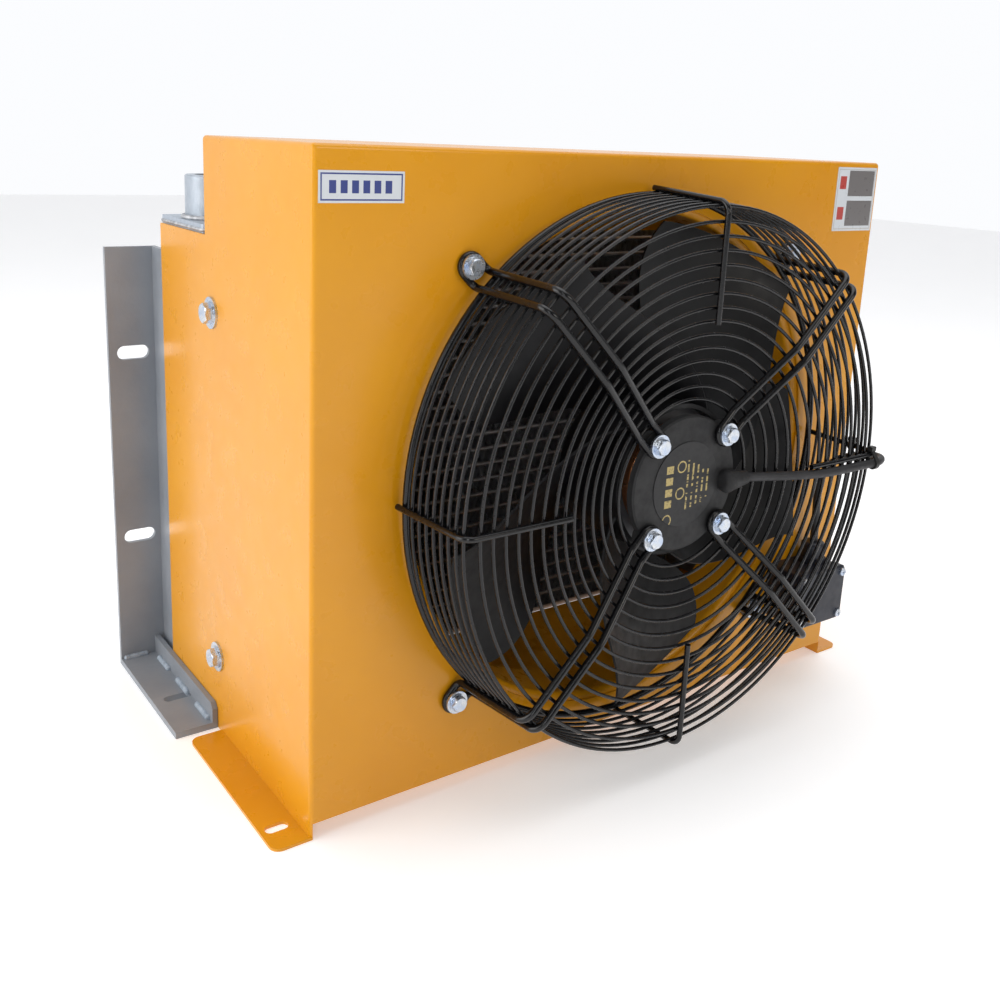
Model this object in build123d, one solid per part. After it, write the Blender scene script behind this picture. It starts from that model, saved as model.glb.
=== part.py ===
from build123d import *
import math
import os

# Hydraulic oil cooler: a fan shroud of folded sheet carries a guarded axial fan in front and an
# aluminium oil core with two side tanks behind. Millimetres, +Z up, +X to the right seen from the
# fan side. Pieces are modelled with y = 0 on the outer face of the fan panel and the floor at
# z = 0, and are moved as they are saved, so that the origin is under the middle of the machine.

# ---- overall sizes ----
OVERALL_D = 370.0          # front of the guard's arms to the back of the brackets
OVERALL_W = 570.0          # over the two mounting brackets
SHROUD_W = OVERALL_W - 65.0
SHROUD_H = 435.0
UPPER_D = 165.0            # depth of the shroud above the tanks
LOWER_D = 257.0            # depth of the shroud beside the tanks
STEP_Z = SHROUD_H - 66.0   # height where the sides step back
FAN_Z = SHROUD_H / 2       # height of the fan's axis
PANEL_BOTTOM_Z = 11.5

# ---- sheet metal ----
SHEET_T = 2.0
BEND_R = 3.0               # outer radius of each fold
FOOT_W = 25.0              # flange that each side stands on
FOOT_D = 150.0
FOOT_CORNER_R = 7.0
GAP = 0.3                  # small clearance between painted parts

# ---- slots ----
SLOT_X = OVERALL_W / 2 - 19.0   # every mounting slot is centred this far from the middle
SHROUD_SLOT = (16.0, 8.0)  # length over its round ends, width
SHROUD_SLOT_Y = 21.5
FOOT_SLOT = (22.0, 8.0)
FOOT_SLOT_Y = 208.0
WALL_SLOT = (25.0, 11.0)
WALL_SLOT_Z = (112.0, 265.0)

# ---- fan opening and inlet ring ----
OPENING_R = 185.0
RING_R = 180.0             # bore of the inlet ring
RING_T = 1.5
RING_DEPTH = 46.0
RING_FLANGE_R = 198.0

# ---- guard ----
ARM_WIRE = 5.0
RIB_WIRE = 4.0
RING_WIRE = 2.4
WELD = 0.3                 # how far welded wires sink into each other
FRONT_D = 80.5             # panel face to the front of the cable tie on the guard
GUARD_D = 70.0             # panel face to the plane of the flat rings
SIDE_RING_R = 193.3        # the side rings' line where it meets the panel
SIDE_TAPER = 0.07          # loss of radius for each mm towards the front
SIDE_RING_FIRST = 15.2
SIDE_RING_PITCH = 7.4
SIDE_RINGS = 8
BACK_RING_Y = -7.0
FACE_RING_R = 179.0
FACE_RING_PITCH = 9.2
FACE_RINGS = 7
CONE_RINGS = 7
CONE_R = 123.0             # the flat face turns into the cone here
CONE_SLOPE = 0.23
ARM_HALF_W = 7.0           # half the distance between an arm's two wires
RIB_INNER_R = 113.0

# ---- guard fasteners ----
ARM_BOLT_R = 208.0         # radius of the bolts on the panel
MOTOR_BOLT_R = 46.0
M6 = dict(d=6.0, af=10.0, head=4.2, washer_r=8.0, washer_t=1.6, nut=5.0)
M8 = dict(d=8.0, af=13.0, head=5.3, washer_r=11.0, washer_t=1.6, nut=6.5)
M4 = dict(d=4.0, af=7.0, head=2.6, washer_r=4.5, washer_t=0.8, nut=3.2)
HOLE_CLEAR = 0.5           # radial clearance of a bolt in its hole
HEAD_FLANGE = 1.24         # width of a head's round flange over its flats
HEAD_ROUND = 1.12          # width of the turned top of a head over its flats
HEAD_CHAMFER = 0.8
GUARD_BOLT_L = 18.0
MOTOR_BOLT_L = 12.0
SIDE_BOLT_L = 16.0
DIAGONALS = (45, 135, 225, 315)

# ---- motor ----
SHIELD_R = 48.0
SHIELD_T = 6.0
LUG_R = 8.0
CAN_R = 54.0
CAN_WALL = 3.0
CAN_FRONT = -47.0
CAN_BACK = 17.0
SHAFT_R = 6.0
BEARING_R = 16.0
BEARING_W = 10.0
RACE_T = 2.8
BALL_R = 2.95
BALLS = 7
RUNNING = 0.05             # radial running clearance
AIR_GAP = 0.4
STATOR_R = 40.6
STATOR_FRONT = -34.0
STATOR_BACK = 1.0
STATOR_SLOTS = 12
TUBE_WALL = 3.0            # tube behind the end shield that holds the bearings
SPOUT_R = 9.0              # cable outlet where it leaves the end shield
SPOUT_WALL = 1.8           # cable outlet round the lead
PLATE_R = 30.0
WINDING_END = 8.0
STATOR_SLOT_W = 6.0
STATOR_SLOT_R = (26.6, 37.6)
CAN_BOSS_R = 10.0
FRONT_BEARING_Y = -46.0
REAR_BEARING_Y = -6.0

# ---- fan blades ----
BLADES = 5
BLADE_T = 1.6
BLADE_TIP_R = 174.0
BLADE_ROOT_R = 52.0
BLADE_LEAD_DEG = 46.0      # where the front corner of the first blade's tip points
BLADE_TIP_CHORD_DEG = 38.0
BLADE_ROOT_CHORD_DEG = 74.0
BLADE_SWEEP = 0.0042       # degrees of sweep for each square mm inward from the tip
TIP_FRONT_Y = -30.0
ROOT_FRONT_Y = -44.0
TIP_BACK_Y = 2.0
ROOT_BACK_Y = 14.0
BLADE_CAMBER = 6.0

# ---- motor lead: spout on the motor, across the guard, round its rim, down to the box ----
LEAD_D = 6.5
LEAD_ROUTE = [(x, y, FAN_Z + up) for x, y, up in (
    (56.0, -60.4, -2.5), (78.0, -64.9, -4.0), (100.0, -70.1, -5.2), (124.0, -74.5, -6.1),
    (148.0, -74.9, -6.5), (171.0, -74.8, -6.4), (189.0, -76.3, -6.2), (201.5, -71.0, -6.0),
    (206.0, -58.0, -7.5), (204.4, -42.0, -12.5), (204.2, -26.0, -20.5), (205.0, -15.0, -35.5),
    (205.6, -12.6, -55.5), (206.8, -13.3, -75.5), (207.0, -13.5, -95.5),
)]
TIE_W = 3.6
TIE_T = 1.2
TIE_SLACK = 0.2
TIE_FRONT_X = 184.0
TIE_SIDE_Y = -48.5

# ---- junction box ----
BOX_X = (168.0, 224.0)
BOX_Z = (FAN_Z - 159.5, FAN_Z - 113.5)
BOX_D = 36.0
BOX_LID_D = 9.0
BOX_WALL = 2.5
BOX_POST_R = 3.2           # posts in the corners that the lid's screws go into
TERMINAL = (8.0, 14.0)     # half height, depth
TERMINALS = 4
GLAND_NUT_R = 11.0
GLAND_BORE_R = 5.0
LEAD_GLAND_H = 18.0
SUPPLY_GLAND_Z = BOX_Z[1] - 20.0
SUPPLY_GLAND_L = 14.0

# ---- oil core ----
TANK_OUTER_X = SHROUD_W / 2 - 2.5
TANK_W = 55.0
TANK_Y = (LOWER_D - 81.0, LOWER_D + 5.0)
TANK_Z = (12.0, STEP_Z + 6.0)
TANK_WALL = 4.0
CORE_Y = (TANK_Y[0] + 3.0, TANK_Y[1] - 3.0)
CORE_PLATE_T = 4.0
TUBE_T = 3.0
TUBE_PITCH = 14.0
TUBE_SKIN = 0.8
FIN_T = 0.3
FIN_PITCH = 20.0
PORT_X = TANK_OUTER_X - 27.0
PORT_Y = TANK_Y[0] + 44.0
PORT_R = 22.0
PORT_TOP_Z = TANK_Z[1] + 31.5
PORT_BORE_R = 15.15        # G1 thread, minor radius
PORT_WELD = 3.0

# ---- core to shroud ----
MOUNT_T = 3.0
MOUNT_LEG = 25.0
MOUNT_FRONT_Y = 140.0
MOUNT_Z = (20.0, STEP_Z - 9.0)
SIDE_BOLT_Y = TANK_Y[0] - 21.0
SIDE_BOLT_Z = (60.0, STEP_Z - 52.0)

# ---- brackets ----
BRACKET_T = 4.0
BRACKET_LEG = 40.0
BRACKET_TOP_Z = STEP_Z - 21.0
BRACKET_FOOT_T = 5.0
BRACKET_FOOT_Y = 157.6
LIP_H = 15.0
WELD_LEG = 3.5
WELD_L = 26.0

# ---- labels ----
LABEL_T = 0.3
MODEL_LABEL_W = 55.0
MODEL_LABEL_Z = (SHROUD_H - 32.5, SHROUD_H - 14.5)
INFO_LABEL_W = 49.0
INFO_LABEL_Z = (SHROUD_H - 54.0, SHROUD_H - 4.0)
LABEL_EDGE = 3.5           # each label's distance from its side of the panel

# ---- sizes worked out from the ones above ----
ARM_FRONT_Y = -(GUARD_D + RING_WIRE / 2 + ARM_WIRE / 2 - WELD)
RIB_FRONT_Y = -(GUARD_D + RING_WIRE / 2 + RIB_WIRE / 2 - WELD)
BRACKET_BACK = OVERALL_D + ARM_FRONT_Y - ARM_WIRE / 2
PANEL_Y = (FRONT_D - BRACKET_BACK) / 2
HALF_W = SHROUD_W / 2
BRACKET_X = OVERALL_W / 2
TANK_INNER_X = TANK_OUTER_X - TANK_W
ARM_END_Y = ARM_FRONT_Y + CONE_SLOPE * (CONE_R - 62.0)
SHIELD_FRONT = ARM_END_Y + ARM_WIRE / 2
SHIELD_BACK = SHIELD_FRONT + SHIELD_T


# ---------------------------------------------------------------- helpers
def block(x0, x1, y0, y1, z0, z1):
    return Pos((x0 + x1) / 2, (y0 + y1) / 2, (z0 + z1) / 2) * Box(x1 - x0, y1 - y0, z1 - z0)


def cyl_y(r, y0, y1, x=0.0, z=FAN_Z):
    return Pos(x, (y0 + y1) / 2, z) * Rot(90, 0, 0) * Cylinder(r, y1 - y0)


def cyl_z(r, z0, z1, x=0.0, y=0.0):
    return Pos(x, y, (z0 + z1) / 2) * Cylinder(r, z1 - z0)


def cyl_x(r, x0, x1, y=0.0, z=0.0):
    return Pos((x0 + x1) / 2, y, z) * Rot(0, 90, 0) * Cylinder(r, x1 - x0)


def wire_ring(r, y, wire):
    return Pos(0, y, FAN_Z) * Rot(90, 0, 0) * Torus(r, wire / 2)


def slot_z(size, x, y, z0, z1):
    """A slot with round ends along X, cut along Z."""
    length, width = size
    shape = extrude(SlotOverall(length, width), z1 - z0)
    return Pos(x, y, z0) * shape


def slot_y(size, x, z, y0, y1):
    """A slot with round ends along X, cut along Y."""
    length, width = size
    return Pos(x, y0, z) * Rot(-90, 0, 0) * extrude(SlotOverall(length, width), y1 - y0)


def around_fan(shape, deg):
    """A copy of a shape at 3 o'clock, turned about the fan's axis."""
    return Pos(0, 0, FAN_Z) * Rot(0, -deg, 0) * Pos(0, 0, -FAN_Z) * shape


def on_circle(r, deg):
    return r * math.cos(math.radians(deg)), FAN_Z + r * math.sin(math.radians(deg))


def both_sides(shape):
    return [shape, mirror(shape, Plane.YZ)]


def save(name, *shapes):
    solids = [solid for shape in shapes for solid in shape.solids()]
    node = solids[0] if len(solids) == 1 else Compound(solids)
    export_step(Pos(0, PANEL_Y, 0) * node, f"parts/{name}.step")


# ---------------------------------------------------------------- fasteners, head along +Z
def hex_bolt(size, length):
    head = extrude(RegularPolygon(size["af"] / 2, 6, major_radius=False), size["head"])
    turned = Pos(0, 0, size["head"] / 2) * Cylinder(size["af"] / 2 * HEAD_ROUND, size["head"])
    head = head & chamfer(turned.edges().group_by(Axis.Z)[-1], HEAD_CHAMFER)
    flange = Pos(0, 0, 0.5) * Cylinder(size["af"] / 2 * HEAD_FLANGE, 1.0)
    return head + flange + Pos(0, 0, -length / 2) * Cylinder(size["d"] / 2, length)


def washer(size):
    ring = Cylinder(size["washer_r"], size["washer_t"]) - Cylinder(
        size["d"] / 2 + HOLE_CLEAR / 2, size["washer_t"])
    return Pos(0, 0, size["washer_t"] / 2) * ring


def hex_nut(size):
    nut = extrude(RegularPolygon(size["af"] / 2, 6, major_radius=False), size["nut"])
    return nut - Cylinder(size["d"] / 2, 3 * size["nut"])


def facing_front(x, y, z):
    """Local +Z points forward, towards -Y."""
    return Pos(x, y, z) * Rot(90, 0, 0)


# ---------------------------------------------------------------- shroud
def fan_shroud():
    outer = block(-HALF_W, HALF_W, 0, LOWER_D + BEND_R, 0, SHROUD_H)
    folds = outer.faces().sort_by(Axis.Y)[0].edges().filter_by(lambda e: e.center().Z > 1)
    outer = fillet(folds + outer.edges().filter_by(Axis.Y).group_by(Axis.Z)[-1], BEND_R)
    inner = block(-HALF_W + SHEET_T, HALF_W - SHEET_T, SHEET_T, LOWER_D + 2 * BEND_R,
                  -SHEET_T, SHROUD_H - SHEET_T)
    shell = outer - inner
    shell -= block(-HALF_W - 1, HALF_W + 1, LOWER_D, LOWER_D + 9, -1, SHROUD_H + 1)
    shell -= block(-HALF_W - 1, HALF_W + 1, UPPER_D, LOWER_D + 9, STEP_Z, SHROUD_H + 1)
    shell -= block(-HALF_W + SHEET_T, HALF_W - SHEET_T, -1, SHEET_T + 1, -1, PANEL_BOTTOM_Z)
    for shape in (floor_sheet(), back_strip(), *both_sides(side_foot())):
        shell += shape
    return shell - shroud_holes()


def floor_sheet():
    return block(-HALF_W + SHEET_T, HALF_W - SHEET_T, SHEET_T / 2, TANK_Y[0] - GAP,
                 PANEL_BOTTOM_Z, PANEL_BOTTOM_Z + SHEET_T)


def back_strip():
    """Closes the plenum between the top sheet and the top of the core."""
    return block(-HALF_W + SHEET_T, HALF_W - SHEET_T, UPPER_D - SHEET_T, UPPER_D,
                 TANK_Z[1] - 8, SHROUD_H - SHEET_T)


def side_foot():
    foot = block(-HALF_W - FOOT_W, -HALF_W + SHEET_T, 0, FOOT_D, 0, SHEET_T)
    corners = foot.edges().filter_by(Axis.Z).group_by(Axis.X)[0]
    return fillet(corners, FOOT_CORNER_R)


def shroud_holes():
    cut = cyl_y(OPENING_R, -1, SHEET_T + 1)
    for deg in DIAGONALS:
        x, z = on_circle(ARM_BOLT_R, deg)
        cut += cyl_y(M6["d"] / 2 + HOLE_CLEAR, -1, SHEET_T + 1, x, z)
    for z in SIDE_BOLT_Z:
        cut += cyl_x(M8["d"] / 2 + HOLE_CLEAR, -HALF_W - 1, HALF_W + 1, SIDE_BOLT_Y, z)
    for x in (-SLOT_X, SLOT_X):
        cut += slot_z(SHROUD_SLOT, x, SHROUD_SLOT_Y, -1, SHEET_T + 1)
    return cut


def inlet_ring():
    """Rolled ring behind the panel, its mouth flared to the panel's opening."""
    flare = OPENING_R - RING_R
    y0 = SHEET_T
    inside = [
        Line((RING_FLANGE_R, y0), (OPENING_R, y0)),
        CenterArc((OPENING_R, y0 + flare), flare, 180, 90),
        Line((RING_R, y0 + flare), (RING_R, RING_DEPTH)),
        Line((RING_R, RING_DEPTH), (RING_R + RING_T, RING_DEPTH)),
        Line((RING_R + RING_T, RING_DEPTH), (RING_R + RING_T, y0 + flare)),
        CenterArc((OPENING_R, y0 + flare), flare - RING_T, 180, 90),
        Line((OPENING_R, y0 + RING_T), (RING_FLANGE_R, y0 + RING_T)),
        Line((RING_FLANGE_R, y0 + RING_T), (RING_FLANGE_R, y0)),
    ]
    ring = Pos(0, 0, FAN_Z) * revolve(make_face(Curve() + inside), Axis.Y)
    for deg in DIAGONALS:
        x, z = on_circle(ARM_BOLT_R, deg)
        ring -= cyl_y(M6["af"] * 0.75, 0, RING_DEPTH, x, z)
    return ring


def model_label():
    x0 = -HALF_W + LABEL_EDGE
    return block(x0, x0 + MODEL_LABEL_W, -LABEL_T, 0, *MODEL_LABEL_Z)


def info_label():
    x1 = HALF_W - LABEL_EDGE
    return block(x1 - INFO_LABEL_W, x1, -LABEL_T, 0, *INFO_LABEL_Z)


# ---------------------------------------------------------------- guard
def cone_y(r):
    """Plane of the guard's rings at a radius: flat outside, sloping in to the motor."""
    return -GUARD_D + CONE_SLOPE * max(0.0, CONE_R - r)


def side_ring_r(y):
    return SIDE_RING_R + SIDE_TAPER * y


def outside_rings(y, wire):
    """Centre line of a wire welded on the outside of the side rings."""
    return side_ring_r(y) + RING_WIRE / 2 + wire / 2 - WELD


def back_ring_r():
    return outside_rings(BACK_RING_Y, ARM_WIRE) - ARM_WIRE + WELD


def side_rings():
    ys = [-SIDE_RING_FIRST - SIDE_RING_PITCH * i for i in range(SIDE_RINGS)]
    return [wire_ring(side_ring_r(y), y, RING_WIRE) for y in ys]


def face_rings():
    radii = [FACE_RING_R - FACE_RING_PITCH * i for i in range(FACE_RINGS)]
    return [wire_ring(r, cone_y(r), RING_WIRE) for r in radii]


def cone_rings():
    first = FACE_RING_R - FACE_RING_PITCH * FACE_RINGS
    radii = [first - FACE_RING_PITCH * i for i in range(CONE_RINGS)]
    return [wire_ring(r, cone_y(r), RING_WIRE) for r in radii]


def bent_wire(points, radii, wire):
    path = FilletPolyline(*points, radius=radii)
    return sweep(Plane(origin=path @ 0, z_dir=path % 0) * Circle(wire / 2), path=path)


def loop_end(x, y, deg):
    """Half a turn of wire round a bolt, open towards the other end of the arm."""
    half = Torus(ARM_HALF_W, ARM_WIRE / 2) & (Pos(ARM_HALF_W, 0, 0) * Box(
        2 * ARM_HALF_W, 4 * ARM_HALF_W, 4 * ARM_WIRE))
    return Pos(x, y, FAN_Z) * Rot(90, 0, 0) * Rot(0, 0, deg) * half


def guard_arm():
    """A hairpin from a panel bolt, round the guard's rim and in to a motor bolt."""
    foot_y = -ARM_WIRE / 2
    points = [(ARM_BOLT_R, foot_y), (outside_rings(foot_y, ARM_WIRE), foot_y),
              (outside_rings(ARM_FRONT_Y, ARM_WIRE), ARM_FRONT_Y), (CONE_R, ARM_FRONT_Y),
              (62.0, ARM_END_Y), (MOTOR_BOLT_R, ARM_END_Y)]
    arm = loop_end(ARM_BOLT_R, foot_y, 0) + loop_end(MOTOR_BOLT_R, ARM_END_Y, 180)
    for side in (-ARM_HALF_W, ARM_HALF_W):
        wire = bent_wire([(r, y, FAN_Z + side) for r, y in points], [5, 9, 30, 12], ARM_WIRE)
        arm += wire
    return arm


def guard_rib():
    back_y = BACK_RING_Y + 3
    points = [(outside_rings(back_y, RIB_WIRE), back_y),
              (outside_rings(RIB_FRONT_Y, RIB_WIRE), RIB_FRONT_Y), (RIB_INNER_R, RIB_FRONT_Y)]
    return bent_wire([(r, y, FAN_Z) for r, y in points], [8], RIB_WIRE)


def guard_bolts():
    return [facing_front(x, -ARM_WIRE - M6["washer_t"], z) * hex_bolt(M6, GUARD_BOLT_L)
            for x, z in (on_circle(ARM_BOLT_R, deg) for deg in DIAGONALS)]


def guard_washers():
    return [facing_front(x, -ARM_WIRE, z) * washer(M6)
            for x, z in (on_circle(ARM_BOLT_R, deg) for deg in DIAGONALS)]


def guard_nuts():
    return [facing_front(x, SHEET_T + M6["nut"], z) * hex_nut(M6)
            for x, z in (on_circle(ARM_BOLT_R, deg) for deg in DIAGONALS)]


# ---------------------------------------------------------------- motor, standing pieces
def motor_end_shield():
    shield = cyl_y(SHIELD_R, SHIELD_FRONT, SHIELD_BACK)
    shield = chamfer(shield.edges().group_by(Axis.Y)[0], 1.2)
    for deg in DIAGONALS:
        x, z = on_circle(MOTOR_BOLT_R, deg)
        shield += cyl_y(LUG_R, SHIELD_FRONT, SHIELD_BACK, x, z)
    shield += cyl_y(BEARING_R + TUBE_WALL, SHIELD_BACK, REAR_BEARING_Y + BEARING_W)
    shield += lead_spout()
    for deg in DIAGONALS:
        x, z = on_circle(MOTOR_BOLT_R, deg)
        shield -= cyl_y(M6["d"] / 2, SHIELD_FRONT - 1, SHIELD_BACK + 1, x, z)
    bore = cyl_y(BEARING_R, SHIELD_BACK, REAR_BEARING_Y + BEARING_W + 1)
    return shield - bore


def lead_spout():
    """Round neck at 3 o'clock that the lead comes out of."""
    x1, y, z = LEAD_ROUTE[0]
    x0 = PLATE_R + 2
    neck = Pos((x0 + x1) / 2, y, z) * Rot(0, 90, 0) * Cone(SPOUT_R, LEAD_D / 2 + SPOUT_WALL, x1 - x0)
    return fillet(neck.edges().group_by(Axis.X)[0], SPOUT_R / 2)


def motor_plate():
    return cyl_y(PLATE_R, SHIELD_FRONT - 0.5, SHIELD_FRONT)


def slot_bars(extra):
    """Bars through the stator's slots, longer than it by some distance at each end."""
    bar = block(*STATOR_SLOT_R, STATOR_FRONT - extra, STATOR_BACK + extra,
                FAN_Z - STATOR_SLOT_W / 2, FAN_Z + STATOR_SLOT_W / 2)
    return [around_fan(bar, 360 / STATOR_SLOTS * i) for i in range(STATOR_SLOTS)]


def stator_core():
    core = cyl_y(STATOR_R, STATOR_FRONT, STATOR_BACK)
    bore = cyl_y(BEARING_R + TUBE_WALL, STATOR_FRONT - 1, STATOR_BACK + 1)
    return core - bore - slot_bars(1)


def stator_windings():
    """Copper end turns at each face of the core, joined through its slots."""
    inner, outer = STATOR_SLOT_R[0] - 1, STATOR_SLOT_R[1] + 1
    ends = [(STATOR_FRONT - WINDING_END, STATOR_FRONT), (STATOR_BACK, STATOR_BACK + WINDING_END)]
    turns = [cyl_y(outer, y0, y1) - cyl_y(inner, y0 - 1, y1 + 1) for y0, y1 in ends]
    turns = [fillet(turn.edges(), 2) for turn in turns]
    return turns[0] + turns[1] + slot_bars(3)


def bearing_race(inner, outer, y0):
    pitch_r = (SHAFT_R + BEARING_R) / 2
    race = cyl_y(outer, y0, y0 + BEARING_W) - cyl_y(inner, y0 - 1, y0 + BEARING_W + 1)
    return race - wire_ring(pitch_r, y0 + BEARING_W / 2, 2 * (BALL_R + RUNNING))


def bearing_outer_rings():
    return [bearing_race(BEARING_R - RACE_T, BEARING_R, y) for y in (FRONT_BEARING_Y, REAR_BEARING_Y)]


def bearing_inner_rings():
    return [bearing_race(SHAFT_R, SHAFT_R + RACE_T, y) for y in (FRONT_BEARING_Y, REAR_BEARING_Y)]


def bearing_balls():
    pitch_r = (SHAFT_R + BEARING_R) / 2
    balls = []
    for y in (FRONT_BEARING_Y, REAR_BEARING_Y):
        for i in range(BALLS):
            x, z = on_circle(pitch_r, 360 / BALLS * i)
            balls.append(Pos(x, y + BEARING_W / 2, z) * Sphere(BALL_R))
    return balls


def motor_bolts():
    seat = ARM_END_Y - ARM_WIRE / 2
    return [facing_front(x, seat - M6["washer_t"], z) * hex_bolt(M6, MOTOR_BOLT_L)
            for x, z in (on_circle(MOTOR_BOLT_R, deg) for deg in DIAGONALS)]


def motor_washers():
    seat = ARM_END_Y - ARM_WIRE / 2
    return [facing_front(x, seat, z) * washer(M6)
            for x, z in (on_circle(MOTOR_BOLT_R, deg) for deg in DIAGONALS)]


# ---------------------------------------------------------------- motor, turning pieces
def rotor_can():
    can = cyl_y(CAN_R, CAN_FRONT, CAN_BACK)
    can = fillet(can.edges().group_by(Axis.Y)[-1], 5)
    can -= cyl_y(CAN_R - CAN_WALL, CAN_FRONT - 1, CAN_BACK - CAN_WALL)
    boss = cyl_y(CAN_BOSS_R, CAN_BACK - CAN_WALL - 5, CAN_BACK - CAN_WALL)
    return can + boss - cyl_y(SHAFT_R, CAN_FRONT - 1, CAN_BACK + 1)


def rotor_cage():
    cage = cyl_y(CAN_R - CAN_WALL, STATOR_FRONT - 2, STATOR_BACK + 2)
    return cage - cyl_y(STATOR_R + AIR_GAP, STATOR_FRONT - 3, STATOR_BACK + 3)


def rotor_shaft():
    shaft = cyl_y(SHAFT_R, FRONT_BEARING_Y - 2, CAN_BACK + 1.5)
    return chamfer(shaft.edges().group_by(Axis.Y)[0], 0.8)


def blade_point(r, t):
    """Point on the blade's middle surface: r from the axis, t from front edge (0) to back (1)."""
    inward = (BLADE_TIP_R - r) / (BLADE_TIP_R - CAN_R)
    chord = BLADE_TIP_CHORD_DEG + (BLADE_ROOT_CHORD_DEG - BLADE_TIP_CHORD_DEG) * inward
    deg = BLADE_LEAD_DEG - BLADE_SWEEP * (BLADE_TIP_R - r) ** 2 + chord * t
    front_y = TIP_FRONT_Y + (ROOT_FRONT_Y - TIP_FRONT_Y) * inward
    back_y = TIP_BACK_Y + (ROOT_BACK_Y - TIP_BACK_Y) * inward
    y = front_y + (back_y - front_y) * t + BLADE_CAMBER * 4 * t * (1 - t)
    x, z = on_circle(r, deg)
    return Vector(x, y, z)


def fan_blade():
    steps = 9
    radii = [BLADE_ROOT_R + (BLADE_TIP_R - BLADE_ROOT_R) * i / (steps - 1) for i in range(steps)]
    grid = [[blade_point(r, j / (steps - 1)) for j in range(steps)] for r in radii]
    sheet = Face.make_surface_from_array_of_points(grid)
    blade = thicken(sheet, BLADE_T / 2, both=True)
    return blade - cyl_y(CAN_R, CAN_FRONT - 9, CAN_BACK + 9)


# ---------------------------------------------------------------- lead, ties and junction box
def lead_radii():
    points = [Vector(*p) for p in LEAD_ROUTE]
    radii = []
    for a, b, c in zip(points, points[1:], points[2:]):
        turn = math.radians((b - a).get_angle(c - b))
        shorter = min((b - a).length, (c - b).length)
        radii.append(0.45 * shorter / math.tan(turn / 2))
    return radii


def motor_lead():
    path = lead_path()
    lead = sweep(Plane(origin=path @ 0, z_dir=path % 0) * Circle(LEAD_D / 2), path=path)
    section = math.pi * LEAD_D ** 2 / 4
    print("lead radii", [round(r, 1) for r in lead_radii()])
    print("lead length", round(path.length, 1), "volume / (section x length)",
          round(lead.volume / (section * path.length), 4))
    return lead


def tie_band(lead_at, rib_at):
    """Flat loop round the lead and the rib, both given as points in the loop's own plane."""
    def hull(grow):
        circles = [(lead_at, LEAD_D / 2 + grow), (rib_at, RIB_WIRE / 2 + grow)]
        edges = [Pos(*at) * Edge.make_circle(r) for at, r in circles]
        return make_hull(ShapeList(edges))
    return extrude(hull(TIE_SLACK + TIE_T) - hull(TIE_SLACK), TIE_W / 2, both=True)


def tie_head(at):
    return Pos(*at, 0) * fillet(Box(4.5, 3.6, TIE_W + 1.4).edges().filter_by(Axis.Z), 0.6)


def lead_path():
    return FilletPolyline(*LEAD_ROUTE, radius=lead_radii())


def lead_near(distance):
    """Point of the lead's centre line where a measure of it comes nearest to zero."""
    path = lead_path()
    return min((path @ (i / 800) for i in range(801)), key=lambda p: abs(distance(p)))


def cable_ties():
    at = lead_near(lambda p: p.X - TIE_FRONT_X)
    front = tie_band((at.Y, at.Z - FAN_Z), (RIB_FRONT_Y, 0)) + tie_head((RIB_FRONT_Y, 4.6))
    at = lead_near(lambda p: p.Y - TIE_SIDE_Y + max(0, 150 - p.X))
    rib_x = outside_rings(TIE_SIDE_Y, RIB_WIRE)
    side = tie_band((at.X, at.Z - FAN_Z), (rib_x, 0)) + tie_head((rib_x, 4.6))
    plane_front = Plane((TIE_FRONT_X, 0, FAN_Z), x_dir=(0, 1, 0), z_dir=(1, 0, 0))
    plane_side = Plane((0, TIE_SIDE_Y, FAN_Z), x_dir=(1, 0, 0), z_dir=(0, -1, 0))
    return [plane_front * front, plane_side * side]


def box_corners(inset):
    return [(x, z) for x in (BOX_X[0] + inset, BOX_X[1] - inset)
            for z in (BOX_Z[0] + inset, BOX_Z[1] - inset)]


def rounded_box(y0, y1, grow, radius):
    shape = block(BOX_X[0] - grow, BOX_X[1] + grow, y0, y1, BOX_Z[0] - grow, BOX_Z[1] + grow)
    return fillet(shape.edges().filter_by(Axis.Y), radius)


def junction_box_base():
    front = -BOX_D + BOX_LID_D
    base = rounded_box(front, 0, 0, 4)
    base -= rounded_box(front - 1, -BOX_WALL, -BOX_WALL, 2)
    for x, z in box_corners(BOX_WALL + 2):
        base += cyl_y(BOX_POST_R, front, -BOX_WALL / 2, x, z)
        base -= cyl_y(M4["d"] / 2, front - 1, front + 14, x, z)
    base -= cyl_z(GLAND_NUT_R - 2, BOX_Z[1] - BOX_WALL - 1, BOX_Z[1] + 1, *gland_xy())
    return base - cyl_x(GLAND_NUT_R - 2, BOX_X[1] - BOX_WALL - 1, BOX_X[1] + 1, gland_xy()[1],
                        SUPPLY_GLAND_Z)


def gland_xy():
    """Where the lead comes down into the box."""
    return LEAD_ROUTE[-1][0], LEAD_ROUTE[-1][1]


def junction_box_lid():
    back = -BOX_D + BOX_LID_D
    lid = rounded_box(-BOX_D, back, 1.0, 5)
    lid = chamfer(lid.faces().sort_by(Axis.Y)[0].edges(), 1.5)
    lid -= rounded_box(-BOX_D + BOX_WALL, back + 1, -BOX_WALL, 2)
    for x, z in box_corners(BOX_WALL + 2):
        lid += cyl_y(BOX_POST_R, -BOX_D + 1, back, x, z)
        lid -= cyl_y(M4["d"] / 2 + HOLE_CLEAR / 2, -BOX_D - 1, back + 1, x, z)
    return lid


def junction_box_screws():
    return [facing_front(x, -BOX_D, z) * box_screw() for x, z in box_corners(BOX_WALL + 2)]


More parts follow.
